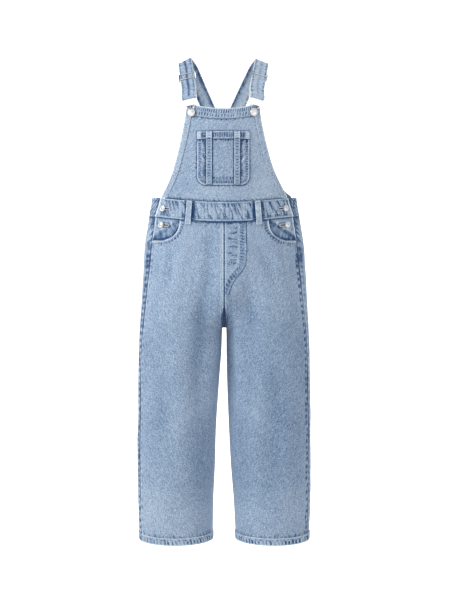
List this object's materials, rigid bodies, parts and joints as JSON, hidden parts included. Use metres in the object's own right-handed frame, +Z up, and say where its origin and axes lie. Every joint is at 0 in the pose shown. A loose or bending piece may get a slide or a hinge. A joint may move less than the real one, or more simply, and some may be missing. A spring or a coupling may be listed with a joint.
{
  "type": "denim dungarees",
  "caption": "Child's light-wash denim dungarees, hollow and filled out as worn, with a bib, clipped adjustable straps, hip pockets and wide straight legs.",
  "frame": {"origin": "midway between the tops of the two straps, where shoulders carry them", "axes": "+Z up the body, -Y out of the front, +X to the wearer's left"},
  "size_m": [0.3634, 0.1951, 1.008],
  "materials": {
    "denim": "light stonewashed twill",
    "denim_worn": "paler where edges are worn",
    "denim_deep": "less faded, inside the pocket mouths",
    "bright_metal": "polished steel"
  },
  "bodies": {
    "root": {"back_bib": "denim", "back_leg_left": "denim", "back_leg_right": "denim", "belt_loop_left": "denim_worn", "belt_loop_right": "denim_worn", "bib_button_left": "bright_metal", "bib_button_right": "bright_metal", "bib_front": "denim", "bib_pocket": "denim", "bib_pocket_band": "denim_worn", "bib_pocket_strip_left": "denim_worn", "bib_pocket_strip_right": "denim_worn", "bib_side_hem_left": "denim_worn", "bib_side_hem_right": "denim_worn", "bib_top_hem": "denim_worn", "clip_loop_left": "bright_metal", "clip_loop_right": "bright_metal", "clip_plate_left": "bright_metal", "clip_plate_right": "bright_metal", "front_leg_left": "denim", "front_leg_right": "denim", "hem_back_left": "denim_worn", "hem_back_right": "denim_worn", "hem_front_left": "denim_worn", "hem_front_right": "denim_worn", "pocket_facing_left": "denim_deep", "pocket_facing_right": "denim_deep", "side_button_lower_left": "bright_metal", "side_button_lower_right": "bright_metal", "side_button_upper_left": "bright_metal", "side_button_upper_right": "bright_metal", "slider_left": "bright_metal", "slider_right": "bright_metal", "strap_left": "denim_worn", "strap_right": "denim_worn", "waistband_back": "denim_worn", "waistband_front": "denim_worn"}
  },
  "joints": []
}
